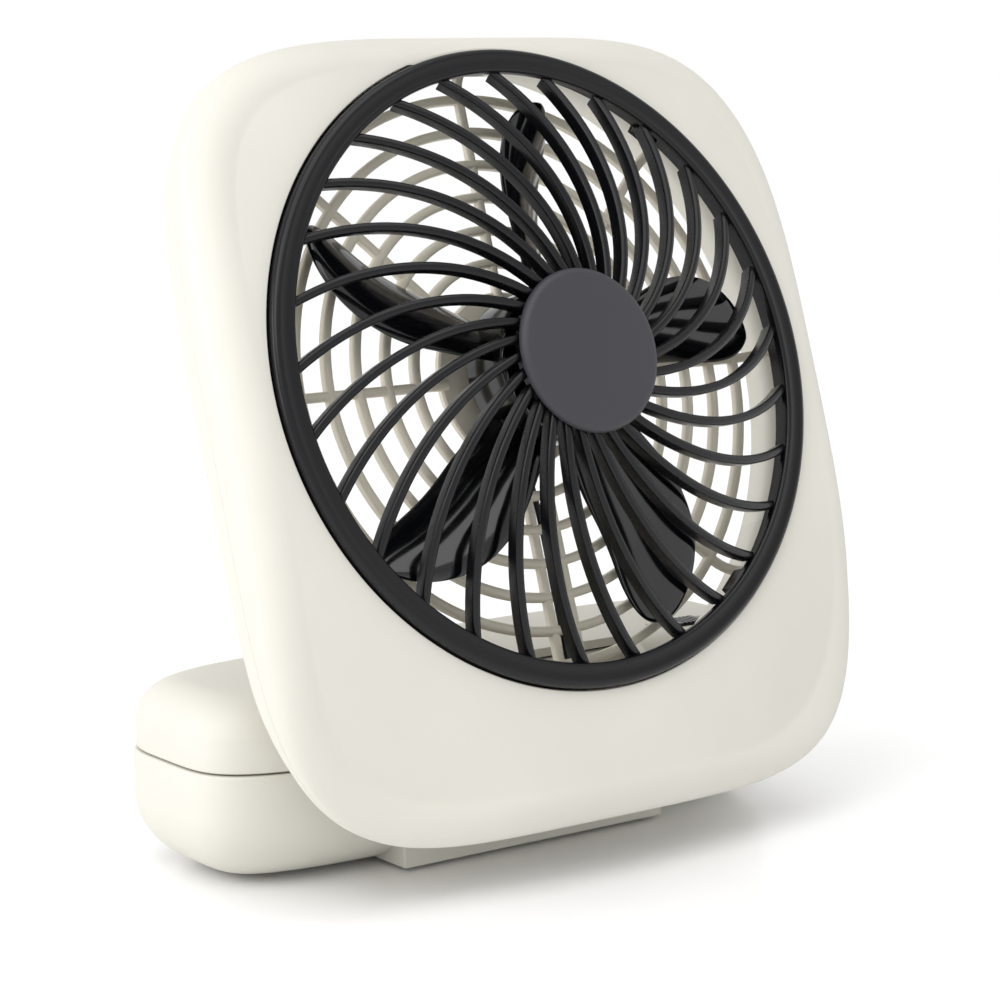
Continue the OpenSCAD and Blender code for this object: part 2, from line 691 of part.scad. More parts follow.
module base_shell() {
    lip_y = base_front + 1.1;
    color(shell_col) in_base() difference() {
        union() {
            difference() {
                base_skin();
                pad(-bay_half, bay_half, base_front - 1, bay_back, bay_floor, base_h);
                pad(-door_half - door_gap, door_half + door_gap,
                    door_front - door_gap, base_front + base_d + 1, -1, door_top + door_gap);
            }
            difference() {
                pad(-lip_half, lip_half, lip_y, bay_back + bay_wall, floor_z, bay_floor);
                pad(-lip_half + 2, lip_half - 2, lip_y + 2, bay_back - 1, floor_in, bay_floor - 2);
            }
            for (s = [-1, 1]) translate([s * (bay_half + cheek_t / 2) - cheek_t / 2, 0, 0])
                rotate([90, 0, 90]) linear_extrude(cheek_t) cheek_outline();
            pad(-bay_half - cheek_t, bay_half + cheek_t, bay_back, bay_back + bay_wall,
                bay_floor - 2, lid_top - 0.5);
            for (s = base_spots) translate(s) bar(3.2, 8, post_top);
            pad(-cell_l - spring_room - stop_t, -cell_l - spring_room,
                cell_y - 7.5, cell_y + 6, floor_z + 1.8, cell_z + 13);
            pad(cell_l + plate_t, cell_l + plate_t + stop_t, cell_y - 7.5, cell_y + 6,
                floor_z + 1.8, cell_z + 13);
        }
        translate([0, 0, hinge_z]) rotate([0, 90, 0]) bar(pin_r + 0.02, -base_w, base_w);
        for (s = base_spots) translate(s) {
            bar(1.5, -1, base_seam);
            bar(2.8, -1, screw_seat);
        }
        translate([bay_half - 1, 3, 20]) rotate([0, 90, 0]) bar(2, 0, cheek_t + 2);
        for (s = [-1, 1]) translate([s * tab_x, door_front, floor_in])
            pad(-tab_half - door_gap, tab_half + door_gap, -tab_l - door_gap, 1, -1.25, 1);
    }
}

module base_lid() {
    angles = [for (i = [0:seg - 1]) i * 360 / seg];
    low = base_seam + seam_gap + 0.1;
    lip_h = 2.4;
    steps = 4;
    function slope(k, off, z) = let (a = k * 90 / steps) [for (t = angles)
        at_z(base_pt(off + lid_slope * (1 - cos(a)), t), z + (base_h - lid_band) * sin(a))];
    function loop(off, z) = [for (t = angles) at_z(base_pt(off, t), z)];
    outer = [loop(lid_inset, low), loop(lid_inset, lid_band - 0.6),
        for (k = [0:steps]) slope(k, lid_inset + 0.2, lid_band)];
    top = [loop(lid_inset + lid_slope + 6, base_h)];
    in_top = [loop(lid_inset + lid_slope + 6, lid_top)];
    inner = [for (k = [steps:-1:0]) slope(k, lid_inset + wall + 0.2, lid_band - wall)];
    lip = [loop(lid_inset + wall, low + 1), loop(wall + 1.2, low), loop(wall + 1.2, low - lip_h),
        loop(wall + 0.4, low - lip_h), loop(wall + 0.4, low)];
    // the skin runs from the inside of the top, out over the lip, and back over the outside
    color(shell_col) in_base() difference() {
        union() {
            cup_skin(concat(in_top, inner, lip, outer, top));
            for (s = base_spots) translate(s) bar(3, post_top + 0.2, lid_top - 2.6);
        }
        pad(-bay_half, bay_half, base_front - 1, bay_back, base_seam - 4, base_h + 1);
        pad(-bay_half - cheek_t - 0.2, bay_half + cheek_t + 0.2, base_front - 1, bay_back + 2,
            base_seam - 4, base_seam + 2);
        for (s = base_spots) translate(s) bar(1.05, post_top, lid_top - 4);
        translate([switch_x, switch_y, 0]) {
            pad(-switch_travel - 5.5, switch_travel + 5.5, -3.6, 3.6, base_h - dish, base_h + 1);
            pad(-switch_travel - 1.9, switch_travel + 1.9, -1.4, 1.4, lid_top - 1, base_h);
        }
    }
}

module base_screws() {
    color(steel_col) in_base() for (s = base_spots)
        translate([s.x, s.y, screw_seat]) screw(1.05, 24, 2.4, 1.4);
}

module cell(x0) {
    button = 1.5;
    translate([x0, cell_y, cell_z]) rotate([0, 90, 0]) rotate_extrude($fn = 96) polygon([
        [0, 0], [cell_r - 3, 0], [cell_r - 2.6, 0.4], [cell_r - 0.8, 0.4], [cell_r, 1.2],
        [cell_r, cell_l - button - 1.2], [cell_r - 0.8, cell_l - button - 0.4], [5.2, cell_l - button - 0.2],
        [4.75, cell_l - button], [4.75, cell_l - 0.3], [4.4, cell_l], [0, cell_l]]);
}
module battery_left() {
    color("#303236") in_base() cell(-cell_l);
}
module battery_right() {
    color("#303236") in_base() cell(0);
}

module contact_spring() {
    turns = 3.5;
    wire = 0.5;
    x0 = -cell_l - spring_room + plate_t + wire;
    x1 = -cell_l - wire;
    n = 16 * turns;
    first_r = 6;
    color(steel_col) in_base() tube([for (i = [0:n])
        let (s = i / n, r = mix(first_r, 3.6, s), a = s * turns * 360)
        [mix(x0, x1, s), cell_y + r * cos(a), cell_z + r * sin(a)]], wire, 6, [1, 0, 0]);
}

module contact_plates() {
    color(steel_col) in_base() {
        for (x = [-cell_l - spring_room, cell_l])
            pad(x, x + plate_t, cell_y - 8, cell_y + 6, cell_z - 8, cell_z + 12);
        // a tab that the black lead is soldered to
        pad(cell_l, cell_l + plate_t, cell_y - 12, cell_y - 7.9, cell_z + 4, cell_z + 9);
    }
}

board_z = lid_top - 7.2;
board_t = 1.6;
// the board's rear edge stays clear of the cell beside it
board_back = min(3.5, cell_y - sqrt(cell_r * cell_r - pow(board_z - cell_z, 2)) - switch_y - 0.5);
module switch_body() {
    color("#26262a") in_base() translate([switch_x, switch_y, 0]) difference() {
        pad(-8, 8, -2.4, 4.4, board_z + board_t, lid_top - 0.6);
        pad(-switch_travel - 2.2, switch_travel + 2.2, -1.7, 1.7, lid_top - 2.6, lid_top + 1);
    }
}
module switch_board() {
    color("#3c6b46") in_base() translate([switch_x, switch_y, 0])
        pad(-12, 8, -8, board_back, board_z, board_z + board_t);
}
module speed_resistor() {
    color("#c7b48a") in_base() translate([switch_x - 5, switch_y - 5.5, board_z - 1.6]) {
        rotate([0, 90, 0]) bar(1.5, 0, 7);
        rotate([0, 90, 0]) bar(0.35, -2.4, 9.4);
        for (x = [-2.1, 9.1]) translate([x, 0, 0]) bar(0.35, -0.3, 1.6);
    }
}
module switch_knob() {
    color(dark_col) in_base() translate([switch_x, switch_y, 0]) {
        difference() {
            pad(-4, 4, -2.9, 2.9, base_h - dish + 0.15, base_h - dish + 0.15 + knob_h - 0.3);
            for (x = [-2.4:1.2:2.4])
                pad(x - 0.25, x + 0.25, -3.5, 3.5, base_h - dish + knob_h - 0.55, base_h + 2);
        }
        pad(-1.7, 1.7, -1.2, 1.2, lid_top - 2.2, base_h - dish + 0.3);
    }
}

module base_leads() {
    top = lid_top - 3;
    color("#a02a22") in_base() tube(route([
        [-cell_l - spring_room + plate_t + lead_r, cell_y - 7, cell_z + 10], [-64, 12.4, 31.6],
        [-56, 9.6, top - 2], [-44, 11, top], [-20, 12.2, top], [0, 12.2, top], [20, 12.2, top], [36, 11, top],
        [41.4, 7, board_z + 0.8]], 3), lead_r, 8, [0.02, 0.05, 1]);
    color("#1c1c1e") in_base() tube(route([
        [cell_l + plate_t + lead_r, cell_y - 10.5, cell_z + 6], [cell_l + 0.5, cell_y - 14.5, 25],
        [58, 6, 23.6], [48, 3.6, 22], [40, 3.2, 20.4],
        [30, 3, 20], [16, 2.4, 20.4], [6, 1.4, 22.5]], 3), lead_r, 8, [0.02, 0.05, 1]);
}

module front_feet() {
    color("#4a4a4c") in_base() for (s = [-1, 1]) translate([s * 27, 3, 0]) bar(4, 0, foot_h);
}

module battery_door() {
    color(shell_col) in_base() union() {
        intersection() {
            base_skin();
            pad(-door_half, door_half, door_front, base_front + base_d + 1, -1, door_top);
        }
        for (s = [-1, 1]) translate([s * tab_x, door_front, floor_in])
            pad(-tab_half, tab_half, -tab_l, 3, -1.1, 0);
    }
}
module door_feet() {
    color("#4a4a4c") in_base() for (s = [-1, 1]) translate([s * 46, 28, 0]) bar(4, 0, foot_h);
}

front_shell();
rear_shell();
rear_grille();
front_grille();
grille_cap();
impeller();
motor_shaft();
armature_core();
armature_windings();
commutator();
motor_can();
motor_magnets();
motor_end_bell();
motor_bushes();
motor_brushes();
motor_terminals();
motor_screws();
head_screws();
head_leads();
tilt_bracket();
bracket_screws();
hinge_pin();
friction_washers();
base_shell();
base_lid();
base_screws();
battery_left();
battery_right();
contact_spring();
contact_plates();
switch_body();
switch_board();
speed_resistor();
switch_knob();
base_leads();
front_feet();
battery_door();
door_feet();
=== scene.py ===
import math
import bpy
import numpy as np
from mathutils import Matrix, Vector


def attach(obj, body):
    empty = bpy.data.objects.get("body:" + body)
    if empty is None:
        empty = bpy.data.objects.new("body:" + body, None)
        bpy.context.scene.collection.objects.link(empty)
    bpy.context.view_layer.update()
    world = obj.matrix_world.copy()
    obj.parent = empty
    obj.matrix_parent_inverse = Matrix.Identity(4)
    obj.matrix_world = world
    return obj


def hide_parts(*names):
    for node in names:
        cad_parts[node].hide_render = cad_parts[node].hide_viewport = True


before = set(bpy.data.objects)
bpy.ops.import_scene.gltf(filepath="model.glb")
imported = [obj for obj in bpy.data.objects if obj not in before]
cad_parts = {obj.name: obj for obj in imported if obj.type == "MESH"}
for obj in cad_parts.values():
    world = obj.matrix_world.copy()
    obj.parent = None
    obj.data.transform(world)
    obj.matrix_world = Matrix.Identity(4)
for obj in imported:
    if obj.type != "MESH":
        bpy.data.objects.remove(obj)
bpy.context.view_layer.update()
print("frame loaded")

mm = 0.001
pi = math.pi



# an sRGB hex value turned to linear light
def linearColour(code):
    channels = [int(code[i:i + 2], 16) / 255 for i in (1, 3, 5)]
    return [c / 12.92 if c < 0.04045 else ((c + 0.055) / 1.055) ** 2.4 for c in channels] + [1.0]


# one node with its settings, its fixed inputs and its links
def addNode(tree, kind, inputs=None, links=None, **settings):
    node = tree.nodes.new(kind)
    for key, value in settings.items():
        setattr(node, key, value)
    for key, value in (inputs or {}).items():
        node.inputs[key].default_value = value
    for key, socket in (links or {}).items():
        tree.links.new(socket, node.inputs[key])
    return node


# A moulded or metal surface: slow drift of tone, a fine grain as bump, and roughness that follows a middle scale.
# grain, drift and cloud are real sizes in millimetres; height is the grain's depth in millimetres.
def surface(name, light, dark, roughness, grain=0.5, height=0.012, drift=45, cloud=6, spread=0.06,
            metallic=0.0, ior=1.5, stretch=(1, 1, 1), detail=2, **shader):
    material = bpy.data.materials.new(name)
    material.use_nodes = True
    tree = material.node_tree
    tree.nodes.clear()
    place = addNode(tree, "ShaderNodeTexCoord").outputs["Object"]
    mapped = addNode(tree, "ShaderNodeMapping", {"Scale": stretch}, {"Vector": place}).outputs["Vector"]
    slow = addNode(tree, "ShaderNodeTexNoise", {"Scale": 1 / (drift * mm), "Detail": 3.0}, {"Vector": place})
    ramp = addNode(tree, "ShaderNodeValToRGB", links={"Fac": slow.outputs["Fac"]})
    ramp.color_ramp.elements[0].position = 0.3
    ramp.color_ramp.elements[1].position = 0.7
    ramp.color_ramp.elements[0].color = linearColour(dark)
    ramp.color_ramp.elements[1].color = linearColour(light)
    middle = addNode(tree, "ShaderNodeTexNoise", {"Scale": 1 / (cloud * mm), "Detail": 2.0}, {"Vector": mapped})
    rough = addNode(tree, "ShaderNodeMapRange",
                    {"To Min": roughness - spread, "To Max": roughness + spread},
                    {"Value": middle.outputs["Fac"]})
    fine = addNode(tree, "ShaderNodeTexNoise", {"Scale": 1 / (grain * mm), "Detail": float(detail)},
                   {"Vector": mapped})
    bump = addNode(tree, "ShaderNodeBump", {"Strength": 1.0, "Distance": height * mm},
                   {"Height": fine.outputs["Fac"]})
    inputs = {"Metallic": metallic}
    if not metallic:
        inputs["IOR"] = ior
    inputs.update(shader)
    skin = addNode(tree, "ShaderNodeBsdfPrincipled", inputs,
                   {"Base Color": ramp.outputs["Color"], "Roughness": rough.outputs["Result"],
                    "Normal": bump.outputs["Normal"]})
    addNode(tree, "ShaderNodeOutputMaterial", links={"Surface": skin.outputs["BSDF"]})
    return material


# warm grey ABS from a spark-eroded mould: soft, broad highlights
shellAbs = surface("moulded warm grey ABS", "#d9d6cd", "#d4d1c8", 0.52, grain=0.45, height=0.010, spread=0.03)
# the same ABS in a slightly yellower batch, for the rear grille
rearAbs = surface("moulded beige ABS", "#ded8c8", "#d6d0bf", 0.42, grain=0.6, height=0.010, spread=0.05)
# charcoal ABS off a polished mould: clean narrow highlights on ring and ribs
charcoalAbs = surface("polished charcoal ABS", "#0c0c10", "#0a0a0d", 0.27, grain=0.9, height=0.004, spread=0.04,
                      **{"Specular IOR Level": 0.34})
# charcoal ABS off an etched mould: fine grain that scatters light
etchedAbs = surface("etched charcoal ABS", "#38383d", "#343439", 0.50, grain=0.55, height=0.050, spread=0.04)
# polished black styrene of the impeller: mirror-like with slight flow marks
blackStyrene = surface("polished black polystyrene", "#08090c", "#050608", 0.10, grain=14, height=0.09,
                       cloud=9, spread=0.05, ior=1.59)
# zinc plate on steel: bright, slightly cloudy
zincSteel = surface("zinc-plated steel", "#c9cbcc", "#a9adb0", 0.32, grain=0.5, height=0.008, drift=4,
                    spread=0.1, metallic=1.0)
# turned can, drawn from sheet: faint rings round the axis
drawnSteel = surface("drawn nickel-plated steel", "#c2c2be", "#a6a6a2", 0.28, grain=0.35, height=0.006,
                     drift=7, spread=0.08, metallic=1.0, stretch=(1, 1, 6))
coreSteel = surface("stamped electrical steel", "#7c7e82", "#62646a", 0.42, grain=0.4, height=0.02, drift=3,
                    metallic=1.0, stretch=(1, 6, 1))
brassStrip = surface("rolled brass strip", "#c9a05a", "#b38a45", 0.3, grain=0.4, height=0.008, drift=4, metallic=1.0)
sinterBronze = surface("sintered bronze", "#8f6238", "#75502c", 0.5, grain=0.25, height=0.03, drift=3, metallic=1.0)
copperWire = surface("enamelled copper wire", "#b0602c", "#8a4318", 0.25, grain=0.3, height=0.04, drift=2,
                     metallic=1.0, stretch=(1, 1, 5))
ferrite = surface("sintered ferrite", "#3b3a3b", "#2f2e30", 0.7, grain=0.3, height=0.04, drift=4)
glassNylon = surface("glass-filled black nylon", "#1b1b1e", "#141417", 0.45, grain=0.4, height=0.02, drift=8)
pvcLead = surface("extruded black PVC", "#161617", "#101011", 0.38, grain=1.2, height=0.02, drift=9)
glassEpoxy = surface("green glass-epoxy board", "#2c6a40", "#235a35", 0.35, grain=0.8, height=0.02, drift=5)
ceramic = surface("glazed resistor ceramic", "#c4ad83", "#ad9468", 0.35, grain=0.5, height=0.02, drift=3)
naturalNylon = surface("turned natural nylon", "#e6e5dc", "#d9d8cd", 0.45, grain=0.4, height=0.01, drift=5)
footRubber = surface("moulded dark rubber", "#2f2f31", "#272729", 0.75, grain=0.35, height=0.04, drift=4)
cellSleeve = surface("lacquered cell sleeve", "#26292e", "#1e2125", 0.3, grain=3, height=0.02, drift=18)
print("materials made")

nodeFinish = {
    "motor_shaft": zincSteel, "armature_core": coreSteel, "armature_windings": copperWire,
    "commutator": brassStrip, "motor_can": drawnSteel, "motor_magnets": ferrite,
    "motor_end_bell": glassNylon, "motor_bushes": sinterBronze, "motor_brushes": brassStrip,
    "motor_terminals": brassStrip, "motor_screws": zincSteel, "head_screws": zincSteel,
    "head_leads": pvcLead, "tilt_bracket": shellAbs, "bracket_screws": zincSteel, "hinge_pin": zincSteel,
    "friction_washers": naturalNylon, "base_screws": zincSteel, "battery_left": cellSleeve,
    "battery_right": cellSleeve, "contact_spring": drawnSteel, "contact_plates": drawnSteel,
    "switch_body": glassNylon, "switch_board": glassEpoxy, "speed_resistor": ceramic,
    "switch_knob": charcoalAbs, "base_leads": pvcLead, "front_feet": footRubber, "door_feet": footRubber}
for nodeName, material in nodeFinish.items():
    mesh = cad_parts[nodeName].data
    mesh.materials.clear()
    mesh.materials.append(material)



# Quads between neighbouring rows of a grid of points; the last column joins the first, and the last row
# joins the first too where the grid is a ring. Open ends are closed by a fan from their middle point.
# The side that faces out is found from the sign of the enclosed volume.
def gridPart(points, ring=False):
    rows, cols = points.shape[:2]
    verts = points.reshape(-1, 3)
    index = np.arange(rows * cols).reshape(rows, cols)
    nextRow = np.roll(index, -1, axis=0) if ring else index[1:]
    thisRow = index if ring else index[:-1]
    quads = np.stack([thisRow, np.roll(thisRow, -1, 1), np.roll(nextRow, -1, 1), nextRow], -1).reshape(-1, 4)
    tris = np.zeros((0, 3), int)
    if not ring:
        verts = np.vstack([verts, points[0].mean(0), points[-1].mean(0)])
        first, last = index[0], index[-1]
        low = np.stack([np.roll(first, -1), first, np.full(cols, rows * cols)], -1)
        high = np.stack([last, np.roll(last, -1), np.full(cols, rows * cols + 1)], -1)
        tris = np.vstack([low, high])
    allTris = np.vstack([quads[:, [0, 1, 2]], quads[:, [0, 2, 3]], tris])
    a, b, c = (verts[allTris[:, k]] - verts.mean(0) for k in range(3))
    if np.einsum("ij,ij->i", a, np.cross(b, c)).sum() < 0:
        quads, tris = quads[:, ::-1], tris[:, ::-1]
    return verts, quads, tris


# one mesh object from several closed grids
def newPiece(name, parts, material, sharp=32):
    verts, faces, start = [], [], 0
    for v, quads, tris in parts:
        verts.append(v)
        faces += (quads + start).tolist() + (tris + start).tolist()
        start += len(v)
    mesh = bpy.data.meshes.new(name)
    mesh.from_pydata(np.vstack(verts).tolist(), [], faces)
    mesh.materials.append(material)
    mesh.update()
    mesh.shade_smooth()
    mesh.set_sharp_from_angle(angle=math.radians(sharp))
    piece = bpy.data.objects.new(name, mesh)
    bpy.context.scene.collection.objects.link(piece)
    return piece


# the piece stands for its CAD node and rides on that node's body
def standFor(piece, body, slotName, *nodes):
    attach(piece, body)
    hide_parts(*nodes)
    print("made", piece.name, len(piece.data.polygons))


# cuts, joins or keeps the overlap of closed meshes, then throws the tools away
def combine(piece, operation, *tools):
    for tool in tools:
        step = piece.modifiers.new("step", "BOOLEAN")
        step.operation = operation
        step.solver = "EXACT"
        step.object = tool
    bpy.context.view_layer.update()
    result = bpy.data.meshes.new_from_object(piece.evaluated_get(bpy.context.evaluated_depsgraph_get()))
    piece.modifiers.clear()
    piece.data = result
    for tool in tools:
        bpy.data.objects.remove(tool)
    while len(result.materials) > 1:
        result.materials.pop()
    result.polygons.foreach_set("material_index", np.zeros(len(result.polygons), np.int32))
    result.shade_smooth()
    result.set_sharp_from_angle(angle=math.radians(32))
    return piece


# a box between two corners, as a closed grid of two rows
def boxPart(low, high, place):
    (x0, y0, z0), (x1, y1, z1) = low, high
    ring = np.array([[x0, y0], [x1, y0], [x1, y1], [x0, y1]], float)
    rows = [np.column_stack([ring, np.full(4, z)]) for z in (z0, z1)]
    return gridPart(place(np.array(rows)))


# a profile of (radius, height) points turned about the z axis; closed profiles give a ring
def lathePart(profile, place, count=192, ring=False, centre=(0, 0)):
    angle = np.arange(count) * 2 * pi / count
    r, z = np.array(profile, float).T[:, :, None]
    rows = np.stack([r * np.cos(angle) + centre[0], r * np.sin(angle) + centre[1], z + 0 * angle], -1)
    return gridPart(place(rows), ring)


# A closed section carried along a path: each point of the section is the path's point, plus its first
# number times the side vector and its second times the up vector.
def sweepPart(path, side, up, section, place):
    s = np.asarray(section, float)
    rows = path[:, None] + s[None, :, :1] * side[:, None] + s[None, :, 1:] * up[:, None]
    return gridPart(place(rows))



hinge = {"y": -5.87, "z": 29.0, "tilt": 18.7, "drop": 71.1, "back": 34.7}


# head frame to the fan's frame: shift to the hinge, stand up, lean back
def inHead(p):
    t = math.radians(hinge["tilt"])
    y, z = p[..., 1] + hinge["drop"], p[..., 2] + hinge["back"]
    return np.stack([p[..., 0], y * math.sin(t) - z * math.cos(t) + hinge["y"],
                     y * math.cos(t) + z * math.sin(t) + hinge["z"]], -1) * mm


def inBase(p):
    return (p + np.array([0, hinge["y"], 0])) * mm


# superellipse: radius in each direction is the power mean of the half sizes
def oval(a, b, q, t):
    r = ((np.abs(np.cos(t)) / a) ** q + (np.abs(np.sin(t)) / b) ** q) ** (-1 / q)
    return r * np.cos(t), r * np.sin(t)


# Directions spread evenly along a superellipse's edge, so that its corners get as many points as its sides
def evenAngles(a, b, q, count):
    t = np.linspace(0, 2 * pi, 20001)
    x, y = oval(a, b, q, t)
    run = np.concatenate([[0], np.cumsum(np.hypot(np.diff(x), np.diff(y)))])
    return np.interp(np.arange(count) * run[-1] / count, run, t)


def smooth(t):
    k = np.clip(t, 0, 1)
    return k * k * (3 - 2 * k)



head = {"halfW": 80.0, "halfH": 86.0, "drop": 11.0, "q": 4.7, "edge": 8.0, "backEdge": 5.0, "wall": 2.0,
        "openR": 70.25, "face": -1.4, "split": -13.0, "back": -20.5, "fall": 2.6, "rise": 6.0, "flatR": 70.0,
        "padR": 82.0, "padLow": 18.0, "ductR": 71.2, "ductT": 1.4, "seam": 0.3, "lip": 0.35}
around = evenAngles(head["halfW"], head["halfH"], head["q"], 640)


def headEdge(offset):
    x, y = oval(head["halfW"] - offset, head["halfH"] - offset, head["q"], around)
    return np.stack([x, y - head["drop"]], -1)


# the face falls away towards the corners, the more the further out
def faceAt(p):
    u, v = (p[..., 0] / head["halfW"]) ** 2, ((p[..., 1] + head["drop"]) / head["halfH"]) ** 2
    corner = 4 * u * v / (u + v) ** 2
    out = np.maximum(np.hypot(p[..., 0], p[..., 1]) - head["flatR"], 0) / 14
    return head["face"] - head["fall"] * out ** 1.5 * (0.35 + 0.65 * corner)


def backAt(p):
    y = np.maximum(p[..., 1], 0) + np.minimum(p[..., 1] + head["padLow"], 0)
    return head["back"] + head["rise"] * smooth((np.hypot(p[..., 0], y) - head["padR"]) / 16)


# a loop of points at a height, or at one height for each point
def loopAt(xy, z):
    return np.concatenate([xy, np.broadcast_to(z, xy.shape[:-1])[..., None]], -1)


def circleLoop(radius):
    xy = headEdge(head["backEdge"])
    return radius * xy / np.linalg.norm(xy, axis=-1, keepdims=True)


# Front shell: from the grille's opening outwards over the face, round the soft edge, down the side, back
# up inside and in again to the opening. A quarter ellipse joins face and side, less deep at the corners.
def frontShell():
    wall, soft, lip, split = head["wall"], head["edge"], head["lip"], head["split"]
    rim, edge = circleLoop(head["openR"]), headEdge(soft)
    edgeZ = faceAt(edge)
    deep = np.minimum(soft, edgeZ - split - 0.6)
    rows = [loopAt(rim, head["face"] - 2.2), loopAt(rim, head["face"] - 0.25)]
    for k in np.linspace(0, 1, 26):
        p = (rim * 1.003) * (1 - k) + edge * k
        rows.append(loopAt(p, faceAt(p)))
    for a in np.linspace(0, pi / 2, 20)[1:]:
        rows.append(loopAt(headEdge(soft * (1 - math.sin(a)) + 0.01), edgeZ - deep * (1 - math.cos(a))))
    for a in np.linspace(0, pi / 2, 5):
        rows.append(loopAt(headEdge(lip * (1 - math.cos(a)) + 0.01), split + lip * (1 - math.sin(a))))
    rows.append(loopAt(headEdge(wall), split))
    for a in np.linspace(pi / 2, 0, 6):
        rows.append(loopAt(headEdge(wall + (soft - wall) * (1 - math.sin(a))),
                           edgeZ - wall - (deep - 0.4) * 0.7 * (1 - math.cos(a))))
    for k in np.linspace(1, 0, 6)[1:]:
        p = rim * (1 - k) + edge * k
        rows.append(loopAt(p, faceAt(p) - wall - 0.2))
    return newPiece("frontShellSkin", [gridPart(inHead(np.array(rows)), ring=True)], shellAbs)


# Rear shell: from the split line round the soft back edge, over the back to the duct, up the duct and
# down its outside, then back under the skin to the split line.
def rearShell():
    wall, soft, seam = head["wall"], head["backEdge"], head["seam"]
    rimZ, lip = head["split"] - seam, head["lip"]
    edge = headEdge(soft)
    edgeZ = backAt(edge)
    deep = np.minimum(soft - 0.5, rimZ - 0.4 - edgeZ)
    rows = []
    for a in np.linspace(pi / 2, 0, 5):
        rows.append(loopAt(headEdge(seam + lip * (1 - math.cos(a))), rimZ - lip * (1 - math.sin(a))))
    for a in np.linspace(0, pi / 2, 16):
        rows.append(loopAt(headEdge(seam + (soft - seam) * (1 - math.cos(a))), edgeZ + deep * (1 - math.sin(a))))
    hole, outer = circleLoop(head["ductR"]), circleLoop(head["ductR"] + head["ductT"])
    for k in np.linspace(0, 0.985, 16)[1:]:
        p = edge * (1 - k) + hole * k
        rows.append(loopAt(p, backAt(p)))
    rows.append(loopAt(hole, backAt(hole) + 0.4))
    rows += [loopAt(hole, -6.8), loopAt(outer, -6.8)]
    inner = headEdge(wall + seam + 0.3)
    for k in np.linspace(1, 0, 8):
        p = inner * (1 - k) + outer * k
        rows.append(loopAt(p, backAt(p) + wall))
    rows.append(loopAt(inner, rimZ))
    shell = newPiece("rearShellSkin", [gridPart(inHead(np.array(rows)), ring=True)], shellAbs)
    spots = [(s * x, y) for s in (-1, 1) for x, y in ((62, 57), (64, -76))]
    posts, recesses, bores = [], [], []
    for x, y in spots:
        top = float(backAt(np.array([x, y], float)))
        posts.append(lathePart([(4.2, top + 0.8), (4.2, head["split"] - 0.5)], inHead, 48, centre=(x, y)))
        recesses.append(lathePart([(3.2, head["back"] - 2), (3.2, top + 2.5)], inHead, 48, centre=(x, y)))
        bores.append(lathePart([(1.5, top), (1.5, head["split"] + 1)], inHead, 32, centre=(x, y)))
    notch = boxPart((-2.4, -73.7, -18.4), (2.4, -69.7, -16.0), inHead)
    recesses.append(notch)
    recesses.append(lathePart([(3, -24), (3, -17)], inHead, 32, centre=(0, -79)))
    combine(shell, "UNION", newPiece("posts", posts, shellAbs))
    return combine(shell, "DIFFERENCE", newPiece("recesses", recesses, shellAbs), newPiece("bores", bores, shellAbs))


standFor(frontShell(), "head", "shell", "front_shell")
standFor(rearShell(), "head", "shell", "rear_shell")



grille = {"ringR": 69.9, "ringW": 5.4, "ribs": 29, "ribW": 2.0, "ribT": 3.6, "ribIn": 14.6, "turn": 6.9,
          "domeH": 11.7, "seatR": 68.6, "capR": 17.8, "capT": 3.0, "arc": 56.8, "off": 53.7}


# height of the dome over a radius: a parabola from the cap to the ring
def domeAt(r):
    s = (r - 15) / (grille["ringR"] - grille["ringW"] - 15)
    return grille["domeH"] * (1 - s * s) - 0.2


# Rounded section, flat underneath and half-round on top, with drafted sides: (sideways, upwards)
def ribSection(width, depth, count=10, draft=0.85):
    a = np.linspace(0, pi, count)
    top = np.stack([width / 2 * np.cos(a), -width / 2 * 0.8 * (1 - np.sin(a))], -1)
    foot = np.array([[-width / 2 * draft, -depth + 0.2], [-width / 2 * draft + 0.2, -depth],
                     [width / 2 * draft - 0.2, -depth], [width / 2 * draft, -depth + 0.2]])
    return np.vstack([top, foot])


